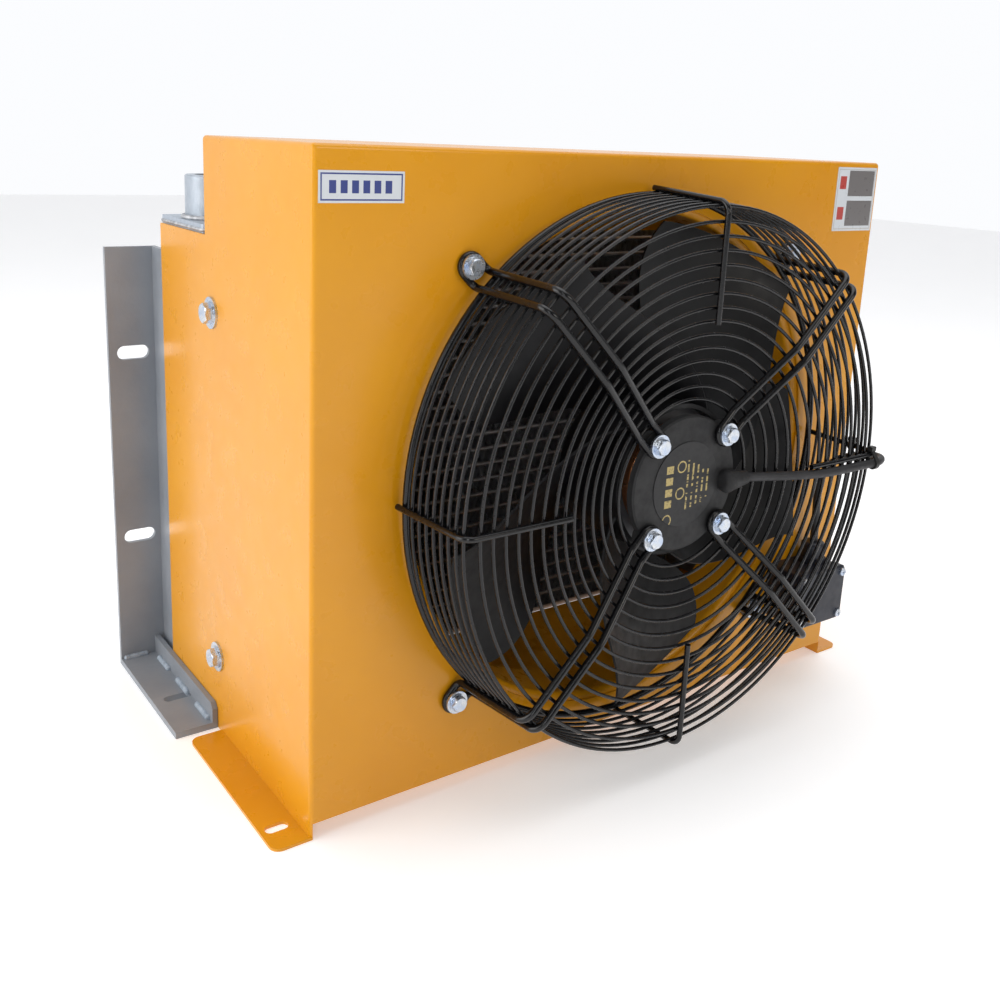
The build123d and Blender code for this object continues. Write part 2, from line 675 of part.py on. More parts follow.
def box_screw():
    head = Pos(0, 0, 1.1) * Cylinder(3.4, 2.2)
    head = fillet(head.edges().group_by(Axis.Z)[-1], 1.0)
    cross = Pos(0, 0, 2.2) * (Box(4.2, 0.9, 1.6) + Box(0.9, 4.2, 1.6))
    return head - cross + Pos(0, 0, -8) * Cylinder(M4["d"] / 2, 16)


def terminal_block():
    half, depth = TERMINAL
    x0, x1 = BOX_X[0] + 12, BOX_X[1] - 14
    z = (BOX_Z[0] + BOX_Z[1]) / 2 - 6
    strip = block(x0, x1, -BOX_WALL - depth, -BOX_WALL, z - half, z + half)
    for i in range(TERMINALS):
        x = x0 + (x1 - x0) * (i + 0.5) / TERMINALS
        strip -= cyl_z(1.6, z - half - 1, z + half + 1, x, -BOX_WALL - 6)
        strip -= cyl_y(2.0, -BOX_WALL - depth - 1, -BOX_WALL - 8, x, z)
    return strip


def gland(height, bore):
    """Cable gland standing on z = 0, its thread reaching down into the wall."""
    hexagon = extrude(RegularPolygon(GLAND_NUT_R - 0.5, 6, major_radius=False), 5)
    dome = Pos(0, 0, 5 + (height - 5) / 2) * Cylinder(GLAND_NUT_R - 1, height - 5)
    dome = fillet(dome.edges().group_by(Axis.Z)[-1], 3.5)
    thread = Pos(0, 0, -BOX_WALL) * Cylinder(GLAND_NUT_R - 2, 2 * BOX_WALL)
    return hexagon + dome + thread - Cylinder(bore, 3 * height)


def lead_gland():
    x, y = gland_xy()
    return Pos(x, y, BOX_Z[1]) * gland(LEAD_GLAND_H, LEAD_D / 2)


def supply_gland():
    """Entry for the supply cable, left empty."""
    place = Pos(BOX_X[1], gland_xy()[1], SUPPLY_GLAND_Z) * Rot(0, 90, 0)
    return place * gland(SUPPLY_GLAND_L, GLAND_BORE_R)


# ---------------------------------------------------------------- core
def tube_levels():
    """Heights of the middle of each oil tube, evenly spaced between the end plates."""
    fin = TUBE_PITCH - TUBE_T
    low = TANK_Z[0] + CORE_PLATE_T + fin + TUBE_T / 2
    high = TANK_Z[1] - CORE_PLATE_T - fin - TUBE_T / 2
    gaps = round((high - low) / TUBE_PITCH)
    return [low + (high - low) * i / gaps for i in range(gaps + 1)]


def tube_profile(shrink):
    return SlotOverall(CORE_Y[1] - CORE_Y[0] - 2 * shrink, TUBE_T - 2 * shrink, rotation=0)


def core_tube(z):
    """Flat oil tube from one tank's inside to the other's."""
    half = TANK_INNER_X + TANK_WALL
    outside = extrude(tube_profile(0), half, both=True)
    inside = extrude(tube_profile(TUBE_SKIN), half + 1, both=True)
    return tube_place(z) * (outside - inside)


def tube_place(z):
    return Pos(0, (CORE_Y[0] + CORE_Y[1]) / 2, z) * Rot(0, 90, 0) * Rot(0, 0, 90)


def fin_rows():
    """Bottom and top height of each layer of fins."""
    levels = tube_levels()
    edges = [TANK_Z[0] + CORE_PLATE_T] + [z + s * TUBE_T / 2 for z in levels for s in (-1, 1)]
    edges.append(TANK_Z[1] - CORE_PLATE_T)
    return list(zip(edges[0::2], edges[1::2]))


def fin_strip(z0, z1):
    """One folded strip, touching the tube below and the tube above at its folds."""
    folds = int(2 * (2 * TANK_INNER_X - 4) / FIN_PITCH)
    step = (2 * TANK_INNER_X - 4) / folds
    low, high = z0 + FIN_T, z1 - FIN_T
    points = [(-TANK_INNER_X + 2 + step * i, low if i % 2 else high) for i in range(folds + 1)]
    lower = [(x, z - FIN_T) for x, z in points]
    face = make_face(Polyline(*points, *reversed(lower), close=True))
    strip = Pos(0, CORE_Y[1] - 0.5, 0) * Rot(90, 0, 0) * extrude(face, CORE_Y[1] - CORE_Y[0] - 1)
    return strip


def core_end_plates():
    return [block(-TANK_INNER_X, TANK_INNER_X, *CORE_Y, *span) for span in (
        (TANK_Z[0], TANK_Z[0] + CORE_PLATE_T), (TANK_Z[1] - CORE_PLATE_T, TANK_Z[1]))]


def left_tank():
    """Rectangular tube with slots for the oil tubes in its inner wall."""
    z0, z1 = TANK_Z[0] + TANK_WALL, TANK_Z[1] - TANK_WALL
    tank = block(-TANK_OUTER_X, -TANK_INNER_X, *TANK_Y, z0, z1)
    tank = fillet(tank.edges().filter_by(Axis.Z), 3)
    tank -= block(-TANK_OUTER_X + TANK_WALL, -TANK_INNER_X - TANK_WALL, TANK_Y[0] + TANK_WALL,
                  TANK_Y[1] - TANK_WALL, z0 - 1, z1 + 1)
    slots = [tube_place(z) * Pos(0, 0, -TANK_INNER_X) * extrude(tube_profile(0), TANK_WALL + 2,
                                                              both=True) for z in tube_levels()]
    return tank - slots


def left_tank_caps():
    caps = []
    for z0 in (TANK_Z[0], TANK_Z[1] - TANK_WALL):
        cap = block(-TANK_OUTER_X, -TANK_INNER_X, *TANK_Y, z0, z0 + TANK_WALL)
        caps.append(fillet(cap.edges().filter_by(Axis.Z), 3))
    caps[1] -= cyl_z(PORT_BORE_R, TANK_Z[1] - TANK_WALL - 1, TANK_Z[1] + 1, -PORT_X, PORT_Y)
    return caps


def left_oil_port():
    """Threaded boss welded on the tank, open into it."""
    base = TANK_Z[1]
    port = cyl_z(PORT_R, base, PORT_TOP_Z, -PORT_X, PORT_Y)
    port = chamfer(port.edges().group_by(Axis.Z)[-1], 1.0)
    bead = Pos(-PORT_X, PORT_Y, base + PORT_WELD / 2) * Cone(PORT_R + PORT_WELD, PORT_R, PORT_WELD)
    port += bead
    return port - cyl_z(PORT_BORE_R, base - 1, PORT_TOP_Z + 1, -PORT_X, PORT_Y)


def left_mount_angle():
    """Angle on the tank's front that the shroud's side bolts to."""
    x0 = -HALF_W + SHEET_T
    along = block(x0, x0 + MOUNT_T, MOUNT_FRONT_Y, TANK_Y[0], *MOUNT_Z)
    across = block(x0, x0 + MOUNT_LEG, TANK_Y[0] - MOUNT_T, TANK_Y[0], *MOUNT_Z)
    angle = along + across
    for z in SIDE_BOLT_Z:
        angle -= cyl_x(M8["d"] / 2 + HOLE_CLEAR, x0 - 1, x0 + MOUNT_T + 1, SIDE_BOLT_Y, z)
    return angle


def side_fasteners(part, x, turn):
    """The same fastener at the four side bolts, its head pointing away from the middle."""
    left = [Pos(-x, SIDE_BOLT_Y, z) * Rot(0, turn, 0) * part for z in SIDE_BOLT_Z]
    return left + [mirror(shape, Plane.YZ) for shape in left]


# ---------------------------------------------------------------- brackets
def left_bracket_upright():
    """Angle iron welded to the tank's back, its outward leg slotted for a wall."""
    z0, z1 = BRACKET_FOOT_T, BRACKET_TOP_Z
    back = BRACKET_BACK
    inner = -BRACKET_X + BRACKET_LEG
    outward = block(-BRACKET_X, inner, back - BRACKET_T, back, z0, z1)
    side = block(inner - BRACKET_T, inner, TANK_Y[1], back, z0 + 4, z1)
    upright = outward + side
    for z in WALL_SLOT_Z:
        upright -= slot_y(WALL_SLOT, -SLOT_X, z, back - BRACKET_T - 1, back + 1)
    return upright


def left_bracket_foot():
    """Floor leg with a low lip beside the shroud."""
    inner = -HALF_W - GAP
    plate = block(-BRACKET_X, inner, BRACKET_FOOT_Y, BRACKET_BACK, 0, BRACKET_FOOT_T)
    lip = block(inner - BRACKET_T, inner, BRACKET_FOOT_Y, BRACKET_BACK - BRACKET_T, 0,
                BRACKET_FOOT_T + LIP_H)
    lip = chamfer(lip.edges().filter_by(Axis.X).group_by(Axis.Z)[-1].sort_by(Axis.Y)[0], 4)
    return plate + lip - slot_z(FOOT_SLOT, -SLOT_X, FOOT_SLOT_Y, -1, BRACKET_FOOT_T + 1)


def left_welds():
    """Stitch welds along the lip and one across the foot of the upright."""
    corner_x = -HALF_W - GAP - BRACKET_T
    ys = [BRACKET_FOOT_Y + 6 + WELD_L + 44 * i for i in range(3)]
    stitches = [weld_bead(WELD_L, Pos(corner_x, y, BRACKET_FOOT_T) * Rot(0, 0, 180)) for y in ys]
    across = weld_bead(BRACKET_X - HALF_W - GAP - BRACKET_T - WELD_LEG - 3, Pos(
        -BRACKET_X + 1, BRACKET_BACK - BRACKET_T, BRACKET_FOOT_T) * Rot(0, 0, -90))
    return stitches + [across]


def weld_bead(length, place):
    """Triangular bead along local Y, filling the corner where local X and Z meet."""
    profile = make_face(Polyline((0, 0), (WELD_LEG, 0), (0, WELD_LEG), close=True))
    return place * Rot(90, 0, 0) * Pos(0, 0, -length) * extrude(profile, length)


# ---------------------------------------------------------------- build and save
def save_all():
    os.makedirs("parts", exist_ok=True)
    save("fan_shroud", fan_shroud())
    save("inlet_ring", inlet_ring())
    save("model_label", model_label())
    save("info_label", info_label())
    save("guard_back_ring", wire_ring(back_ring_r(), BACK_RING_Y, ARM_WIRE))
    save("guard_side_rings", *side_rings())
    save("guard_face_rings", *face_rings())
    save("guard_cone_rings", *cone_rings())
    for i, deg in enumerate(DIAGONALS):
        save(f"guard_arm_{i + 1}", around_fan(guard_arm(), deg))
    save("guard_ribs", *[around_fan(guard_rib(), 90 * i) for i in range(4)])
    save("guard_bolts", *guard_bolts())
    save("guard_washers", *guard_washers())
    save("guard_nuts", *guard_nuts())
    save("motor_bolts", *motor_bolts())
    save("motor_washers", *motor_washers())
    save("motor_end_shield", motor_end_shield())
    save("motor_plate", motor_plate())
    save("stator_core", stator_core())
    save("stator_windings", stator_windings())
    save("bearing_outer_rings", *bearing_outer_rings())
    save("bearing_inner_rings", *bearing_inner_rings())
    save("bearing_balls", *bearing_balls())
    save("rotor_can", rotor_can())
    save("rotor_cage", rotor_cage())
    save("rotor_shaft", rotor_shaft())
    for i in range(BLADES):
        save(f"fan_blade_{i + 1}", around_fan(fan_blade(), 360 / BLADES * i))
    save("motor_lead", motor_lead())
    save("cable_ties", *cable_ties())
    save("junction_box_base", junction_box_base())
    save("junction_box_lid", junction_box_lid())
    save("junction_box_screws", *junction_box_screws())
    save("terminal_block", terminal_block())
    save("lead_gland", lead_gland())
    save("supply_gland", supply_gland())
    save_sides("tank", left_tank())
    save_sides("tank_caps", *left_tank_caps())
    save_sides("oil_port", left_oil_port())
    save("core_tubes", *[core_tube(z) for z in tube_levels()])
    save("core_fins", *[fin_strip(*row) for row in fin_rows()])
    save("core_end_plates", *core_end_plates())
    save_sides("mount_angle", left_mount_angle())
    save("side_bolts", *side_fasteners(hex_bolt(M8, SIDE_BOLT_L), HALF_W + M8["washer_t"], -90))
    save("side_washers", *side_fasteners(washer(M8), HALF_W, -90))
    save("side_nuts", *side_fasteners(hex_nut(M8), HALF_W - SHEET_T - MOUNT_T - M8["nut"], -90))
    save_sides("bracket_upright", left_bracket_upright())
    save_sides("bracket_foot", left_bracket_foot())
    save("bracket_welds", *left_welds(), *[mirror(weld, Plane.YZ) for weld in left_welds()])


def save_sides(name, *shapes):
    save(f"left_{name}", *shapes)
    save(f"right_{name}", *[mirror(shape, Plane.YZ) for shape in shapes])


save_all()
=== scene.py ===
import bmesh
import bpy
import math
from mathutils import Matrix, Vector


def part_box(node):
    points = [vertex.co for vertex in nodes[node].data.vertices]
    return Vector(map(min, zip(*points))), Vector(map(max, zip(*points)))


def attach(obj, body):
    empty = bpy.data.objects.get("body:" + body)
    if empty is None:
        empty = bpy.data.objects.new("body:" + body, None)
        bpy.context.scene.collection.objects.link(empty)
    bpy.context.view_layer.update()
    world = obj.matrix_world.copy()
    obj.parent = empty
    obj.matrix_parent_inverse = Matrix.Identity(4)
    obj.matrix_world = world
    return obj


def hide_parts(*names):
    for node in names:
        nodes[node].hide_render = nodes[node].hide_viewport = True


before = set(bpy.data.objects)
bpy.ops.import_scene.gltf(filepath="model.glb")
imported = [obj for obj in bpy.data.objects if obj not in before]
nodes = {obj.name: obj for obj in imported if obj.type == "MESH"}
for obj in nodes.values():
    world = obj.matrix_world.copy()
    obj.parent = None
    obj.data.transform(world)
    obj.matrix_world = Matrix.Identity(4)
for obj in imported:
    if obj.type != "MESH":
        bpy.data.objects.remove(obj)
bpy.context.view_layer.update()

# Looks for the hydraulic oil cooler. Metres, +Z up, the fan guard faces -Y.
MM = 0.001
SIDES = ("left", "right")


def centre(node):
    low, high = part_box(node)
    return (low + high) / 2


# ---- places that come from the frame ----
FAN = centre("guard_back_ring")


# ---------------------------------------------------------------- camera, floor and light
CAMERA_AT = (-0.51493, -0.64994, 0.44235)
CAMERA_TURN = math.radians(-35.81)     # about Z, from looking along +Y
CAMERA_DIP = math.radians(13.66)
CAMERA_ROLL = math.radians(2.575)
LENS = 38.39
SHIFT = (0.0056, -0.104)


def set_camera():
    data = bpy.data.cameras.new("camera")
    data.lens = LENS
    data.sensor_width = 36
    data.shift_x, data.shift_y = SHIFT
    data.clip_start = 0.02
    camera = bpy.data.objects.new("camera", data)
    look = Matrix.Rotation(CAMERA_TURN, 4, "Z") @ Matrix.Rotation(math.pi / 2 - CAMERA_DIP, 4, "X")
    camera.matrix_world = Matrix.Translation(CAMERA_AT) @ look @ Matrix.Rotation(CAMERA_ROLL, 4, "Z")
    bpy.context.scene.collection.objects.link(camera)
    bpy.context.scene.camera = camera


def area_light(name, at, towards, size, power, colour):
    data = bpy.data.lights.new(name, "AREA")
    data.shape = "RECTANGLE"
    data.size, data.size_y = size
    data.energy = power
    data.color = colour
    light = bpy.data.objects.new(name, data)
    light.location = at
    light.rotation_euler = (Vector(towards) - Vector(at)).to_track_quat("-Z", "Y").to_euler()
    bpy.context.scene.collection.objects.link(light)


def set_lights():
    middle = (0, 0, 0.22)
    area_light("window_left", (-2.3, 0.3, 0.9), middle, (1.6, 1.8), 25, (1, 0.98, 0.95))
    area_light("room_front", (0.7, -2.6, 1.3), middle, (1.6, 1.0), 19, (1, 0.95, 0.88))
    area_light("ceiling", (0.2, -0.3, 2.4), middle, (2.0, 2.0), 22, (1, 1, 1))
    area_light("strip_left", (-1.5, -1.7, 1.1), middle, (0.12, 1.5), 9, (0.95, 0.97, 1))


def set_world():
    """A white room behind the machine, dimmer on the side that the fan faces."""
    world = bpy.data.worlds.new("pale_room")
    world.use_nodes = True
    tree = world.node_tree
    direction = tree.nodes.new("ShaderNodeTexCoord")
    parts = tree.nodes.new("ShaderNodeSeparateXYZ")
    fade = tree.nodes.new("ShaderNodeMapRange")
    background = tree.nodes["Background"]
    background.inputs["Color"].default_value = (0.97, 0.98, 1.0, 1)
    tree.links.new(direction.outputs["Generated"], parts.inputs[0])
    tree.links.new(parts.outputs["Y"], fade.inputs["Value"])
    tree.links.new(fade.outputs["Result"], background.inputs["Strength"])
    for name, value in (("From Min", -0.5), ("From Max", 0.25), ("To Min", 0.07), ("To Max", 1.0)):
        fade.inputs[name].default_value = value
    bpy.context.scene.world = world
    bpy.context.scene.view_settings.view_transform = "Standard"


# ---------------------------------------------------------------- materials
class Shader:
    """A node material, with its common nodes as short calls."""

    def __init__(self, name, roughness, metallic=0.0, coat=0.0, specular=0.5):
        self.material = bpy.data.materials.new(name)
        self.material.use_nodes = True
        self.tree = self.material.node_tree
        self.surface = self.tree.nodes["Principled BSDF"]
        self.surface.inputs["Roughness"].default_value = roughness
        self.surface.inputs["Metallic"].default_value = metallic
        self.surface.inputs["Coat Weight"].default_value = coat
        self.surface.inputs["Coat Roughness"].default_value = 0.12
        self.surface.inputs["Specular IOR Level"].default_value = specular
        place = self.node("ShaderNodeTexCoord")
        self.place = place.outputs["Object"]

    def node(self, kind, **settings):
        made = self.tree.nodes.new(kind)
        for key, value in settings.items():
            setattr(made, key, value)
        return made

    def feed(self, socket, value):
        if isinstance(value, bpy.types.NodeSocket):
            self.tree.links.new(value, socket)
        elif isinstance(value, (tuple, list)) and len(value) == 3 and socket.type == "RGBA":
            socket.default_value = (*value, 1)
        else:
            socket.default_value = value

    def stretched(self, x, y, z):
        mapping = self.node("ShaderNodeMapping")
        self.feed(mapping.inputs["Vector"], self.place)
        mapping.inputs["Scale"].default_value = (x, y, z)
        return mapping.outputs["Vector"]

    def noise(self, scale, detail=3.0, place=None):
        texture = self.node("ShaderNodeTexNoise")
        self.feed(texture.inputs["Vector"], place or self.place)
        texture.inputs["Scale"].default_value = scale
        texture.inputs["Detail"].default_value = detail
        return texture.outputs["Fac"]

    def bands(self, scale, direction, distortion=0.0, kind="BANDS"):
        texture = self.node("ShaderNodeTexWave", wave_type=kind)
        setattr(texture, "bands_direction" if kind == "BANDS" else "rings_direction", direction)
        self.feed(texture.inputs["Vector"], self.place)
        texture.inputs["Scale"].default_value = scale
        texture.inputs["Distortion"].default_value = distortion
        return texture.outputs["Fac"]

    def maths(self, operation, a, b=0.0, clamp=False):
        made = self.node("ShaderNodeMath", operation=operation, use_clamp=clamp)
        self.feed(made.inputs[0], a)
        self.feed(made.inputs[1], b)
        return made.outputs[0]

    def spread(self, value, low, high, to_low=0.0, to_high=1.0):
        made = self.node("ShaderNodeMapRange")
        for name, given in zip(("Value", "From Min", "From Max", "To Min", "To Max"),
                               (value, low, high, to_low, to_high)):
            self.feed(made.inputs[name], given)
        return made.outputs["Result"]

    def mix(self, factor, a, b):
        made = self.node("ShaderNodeMix", data_type="RGBA")
        self.feed(made.inputs[0], factor)
        self.feed(made.inputs[6], a)
        self.feed(made.inputs[7], b)
        return made.outputs[2]

    def axes(self):
        made = self.node("ShaderNodeSeparateXYZ")
        self.feed(made.inputs[0], self.place)
        return made.outputs

    def inside(self, value, low, high):
        """1 where a value lies between two limits, else 0."""
        above = self.maths("GREATER_THAN", value, low)
        below = self.maths("LESS_THAN", value, high)
        return self.maths("MULTIPLY", above, below)

    def rectangle(self, x0, x1, z0, z1):
        x, _, z = self.axes()
        return self.maths("MULTIPLY", self.inside(x, x0, x1), self.inside(z, z0, z1))

    def any_of(self, masks):
        total = masks[0]
        for mask in masks[1:]:
            total = self.maths("MAXIMUM", total, mask)
        return total

    def colour(self, value):
        self.feed(self.surface.inputs["Base Color"], value)

    def roughness(self, value):
        self.feed(self.surface.inputs["Roughness"], value)

    def bump(self, height, distance, strength=1.0, coat_too=False):
        made = self.node("ShaderNodeBump")
        made.inputs["Distance"].default_value = distance
        made.inputs["Strength"].default_value = strength
        self.feed(made.inputs["Height"], height)
        self.feed(self.surface.inputs["Normal"], made.outputs["Normal"])
        if coat_too:
            self.feed(self.surface.inputs["Coat Normal"], made.outputs["Normal"])


def powder_coat():
    """Glossy yellow powder coat, with its orange peel and a slight change of tone over the sheet."""
    look = Shader("powder_coat", 0.32, coat=0.18, specular=0.35)
    deep, bright = (0.66, 0.27, 0.004), (0.72, 0.315, 0.006)
    tone = look.spread(look.noise(7, 4), 0.3, 0.7)
    look.colour(look.mix(tone, deep, bright))
    look.roughness(look.spread(look.noise(60, 4), 0.3, 0.7, 0.25, 0.36))
    look.bump(look.noise(420, 2), 0.00006, 0.35, coat_too=True)
    return look.material


def painted_grey():
    """Grey enamel over hot-rolled angle, thin enough to show the steel's scale."""
    look = Shader("painted_grey", 0.45, coat=0.1)
    tone = look.spread(look.noise(18, 5), 0.3, 0.7)
    look.colour(look.mix(tone, (0.215, 0.235, 0.265), (0.275, 0.295, 0.325)))
    look.roughness(look.spread(look.noise(85, 4), 0.3, 0.7, 0.36, 0.52))
    look.bump(look.maths("ADD", look.noise(350, 3), look.maths("MULTIPLY", look.noise(40, 3), 2.0)),
              0.0002, 0.45)
    return look.material


def brushed_aluminium():
    """Sheet aluminium with fine rolling marks along its length."""
    look = Shader("brushed_aluminium", 0.45, metallic=0.55)
    marks = look.noise(60, 5, look.stretched(12, 12, 0.6))
    look.colour(look.mix(look.spread(marks, 0.3, 0.7), (0.36, 0.41, 0.47), (0.44, 0.49, 0.56)))
    look.roughness(look.spread(look.noise(30, 4), 0.3, 0.7, 0.4, 0.52))
    look.bump(marks, 0.0001, 0.35)
    return look.material


def cast_aluminium():
    """Turned aluminium boss; the wall of its bore carries the thread's ridges."""
    look = Shader("turned_aluminium", 0.4, metallic=0.6)
    tone = look.spread(look.noise(90, 4), 0.3, 0.7)
    look.colour(look.mix(tone, (0.37, 0.42, 0.48), (0.46, 0.51, 0.57)))
    look.roughness(look.spread(look.noise(140, 3), 0.3, 0.7, 0.3, 0.46))
    look.bump(look.bands(700, "Z"), 0.0002, 0.5)
    return look.material


def weld_metal(name, dark, light, metallic):
    """Rippled bead with a little soot in its hollows."""
    look = Shader(name, 0.5, metallic=metallic)
    soot = look.spread(look.noise(220, 4), 0.35, 0.65)
    look.colour(look.mix(soot, dark, light))
    look.roughness(look.spread(look.noise(400, 3), 0.3, 0.7, 0.38, 0.6))
    look.bump(look.noise(900, 3), 0.0002, 0.5)
    return look.material


def mill_aluminium():
    look = Shader("mill_aluminium", 0.4, metallic=0.9)
    streaks = look.noise(40, 5, look.stretched(0.5, 8, 8))
    look.colour(look.mix(look.spread(streaks, 0.3, 0.7), (0.3, 0.31, 0.33), (0.42, 0.43, 0.45)))
    look.roughness(look.spread(look.noise(120, 4), 0.3, 0.7, 0.34, 0.5))
    look.bump(streaks, 0.0001, 0.3)
    return look.material


def fin_foil():
    """Bright thin foil, a little dulled by the brazing."""
    look = Shader("fin_foil", 0.32, metallic=0.9)
    tone = look.spread(look.noise(55, 4), 0.35, 0.65)
    look.colour(look.mix(tone, (0.5, 0.51, 0.53), (0.68, 0.69, 0.71)))
    look.roughness(look.spread(look.noise(260, 3), 0.3, 0.7, 0.24, 0.44))
    look.bump(look.noise(800, 2), 0.00005, 0.4)
    return look.material


def black_wire():
    """Glossy black dip coat on drawn wire."""
    look = Shader("black_wire", 0.18, coat=0.25, specular=0.3)
    look.colour(look.mix(look.spread(look.noise(90, 3), 0.3, 0.7), (0.002, 0.002, 0.0025),
                         (0.004, 0.004, 0.005)))
    look.roughness(look.spread(look.noise(300, 3), 0.3, 0.7, 0.16, 0.3))
    look.bump(look.noise(450, 3), 0.00008, 0.5, coat_too=True)
    return look.material


def black_sheet():
    """Satin black paint on the pressed blades and the motor's can."""
    look = Shader("black_sheet", 0.42, specular=0.3)
    look.colour(look.mix(look.spread(look.noise(25, 4), 0.3, 0.7), (0.003, 0.003, 0.0035),
                         (0.006, 0.006, 0.007)))
    look.roughness(look.spread(look.noise(110, 4), 0.3, 0.7, 0.34, 0.52))
    look.bump(look.noise(600, 3), 0.00008, 0.5)
    return look.material


def motor_casting():
    """Matt charcoal paint over a die casting's fine grain."""
    look = Shader("motor_casting", 0.6, specular=0.35)
    look.colour(look.mix(look.spread(look.noise(70, 5), 0.3, 0.7), (0.014, 0.014, 0.015),
                         (0.024, 0.024, 0.025)))
    look.roughness(look.spread(look.noise(200, 3), 0.3, 0.7, 0.5, 0.7))
    look.bump(look.noise(1100, 3), 0.00012, 0.6)
    return look.material


def motor_plate():
    """Dark foil with plain gold blocks, rings and broken lines in place of lettering."""
    look = Shader("motor_plate", 0.45, specular=0.4)
    gold, foil = (0.46, 0.36, 0.14), (0.016, 0.016, 0.017)
    left = FAN.x - 19 * MM
    side, rise = 6.4 * MM, 8.1 * MM
    masks = []
    for i in range(4):
        z = FAN.z + 9.4 * MM - rise * i
        masks.append(look.rectangle(left, left + side, z, z + 5.4 * MM))
    for x, z in ((3.2, -24.0), (14.0, 13.0), (14.0, -6.0)):
        masks.append(ring_mark(look, left + x * MM, FAN.z + z * MM, 3.3 * MM, 4.3 * MM))
    broken = look.maths("GREATER_THAN", look.noise(1, 1, look.stretched(70, 1, 620)), 0.47)
    for i in range(5):
        x = left + (19.6 + 4.8 * i) * MM
        line = look.rectangle(x, x + 1.6 * MM, FAN.z - (19 - 1.2 * i) * MM, FAN.z + (17 - 2.2 * i) * MM)
        masks.append(look.maths("MULTIPLY", line, broken))
    marks = look.maths("MULTIPLY", look.any_of(masks), look.spread(look.noise(620, 3), 0.2, 0.5))
    look.colour(look.mix(marks, foil, gold))
    look.roughness(look.spread(look.noise(300, 3), 0.3, 0.7, 0.4, 0.55))
    look.bump(look.noise(700, 3), 0.00006, 0.4)
    return look.material


def ring_mark(look, x, z, inner, outer):
    along, _, up = look.axes()
    across = look.maths("SUBTRACT", along, x)
    rise = look.maths("SUBTRACT", up, z)
    distance = look.maths("SQRT", look.maths("ADD", look.maths("MULTIPLY", across, across),
                                             look.maths("MULTIPLY", rise, rise)))
    return look.inside(distance, inner, outer)


def zinc_plate():
    """Bluish zinc plate, with faint bands of other tints where it was dipped."""
    look = Shader("zinc_plate", 0.28, metallic=0.95)
    blue, warm = (0.50, 0.58, 0.72), (0.66, 0.68, 0.70)
    look.colour(look.mix(look.spread(look.noise(160, 4), 0.35, 0.65), blue, warm))
    look.roughness(look.spread(look.noise(420, 3), 0.3, 0.7, 0.2, 0.38))
    look.bump(look.noise(900, 2), 0.00005, 0.5)
    return look.material


def ground_steel(name, dark, light, low, high):
    """Turned or ground steel, with fine marks round the shaft's axis."""
    look = Shader(name, low, metallic=1.0)
    marks = look.noise(30, 4, look.stretched(1, 60, 1))
    look.colour(look.mix(look.spread(marks, 0.3, 0.7), dark, light))
    look.roughness(look.spread(look.noise(200, 3), 0.3, 0.7, low, high))
    look.bump(marks, 0.00004, 0.4)
    return look.material


def laminations():
    """Stacked electrical sheet, each lamination a fine line."""
    look = Shader("laminations", 0.5, metallic=0.7)
    sheets = look.bands(320, "Y")
    look.colour(look.mix(sheets, (0.09, 0.09, 0.095), (0.2, 0.2, 0.21)))
    look.roughness(look.spread(look.noise(150, 3), 0.3, 0.7, 0.42, 0.6))
    look.bump(sheets, 0.0001, 0.6)
    return look.material


def winding_copper():
    """Varnished copper wire laid side by side."""
    look = Shader("winding_copper", 0.3, metallic=0.8, coat=0.5)
    wires = look.bands(300, "SPHERICAL", 0.6, kind="RINGS")
    look.colour(look.mix(wires, (0.28, 0.09, 0.03), (0.62, 0.25, 0.1)))
    look.roughness(look.spread(look.noise(120, 3), 0.3, 0.7, 0.24, 0.4))
    look.bump(wires, 0.0002, 0.7)
    return look.material


def sheath_rubber():
    """Semi-matt rubber sheath of the lead."""
    look = Shader("sheath_rubber", 0.5, specular=0.4)
    look.colour(look.mix(look.spread(look.noise(60, 4), 0.3, 0.7), (0.016, 0.016, 0.018),
                         (0.03, 0.03, 0.033)))
    look.roughness(look.spread(look.noise(260, 3), 0.3, 0.7, 0.42, 0.6))
    look.bump(look.noise(700, 3), 0.0001, 0.5)
    return look.material


def moulded(name, dark, light, low, high, grain):
    """Moulded plastic with a spark-eroded grain."""
    look = Shader(name, low)
    look.colour(look.mix(look.spread(look.noise(40, 4), 0.3, 0.7), dark, light))
    look.roughness(look.spread(look.noise(180, 3), 0.3, 0.7, low, high))
    look.bump(look.noise(grain, 3), 0.0001, 0.5)
    return look.material


def printed_label(name, node, border, blocks):
    """Pale foil label: a border line and plain blocks, each given as shares of its width and height."""
    low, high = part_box(node)
    size = high - low
    look = Shader(name, 0.3, coat=0.4)
    paper = look.mix(look.noise(50, 3), (0.60, 0.64, 0.68), (0.68, 0.71, 0.74))
    inset, line = 1.3 * MM, 0.9 * MM
    outer = look.rectangle(low.x + inset, high.x - inset, low.z + inset, high.z - inset)
    inner = look.rectangle(low.x + inset + line, high.x - inset - line,
                           low.z + inset + line, high.z - inset - line)
    edge = look.maths("SUBTRACT", outer, inner)
    face = look.mix(edge, paper, border)
    for x0, x1, z0, z1, ink in blocks:
        mask = look.rectangle(low.x + size.x * x0, low.x + size.x * x1,
                              low.z + size.z * z0, low.z + size.z * z1)
        face = look.mix(mask, face, ink)
    look.colour(face)
    look.roughness(look.spread(look.noise(200, 3), 0.3, 0.7, 0.26, 0.38))
    look.bump(look.noise(260, 2), 0.00005, 0.4)
    return look.material


def paint(material, *names):
    for name in names:
        for place in nodes[name].material_slots:
            place.material = material


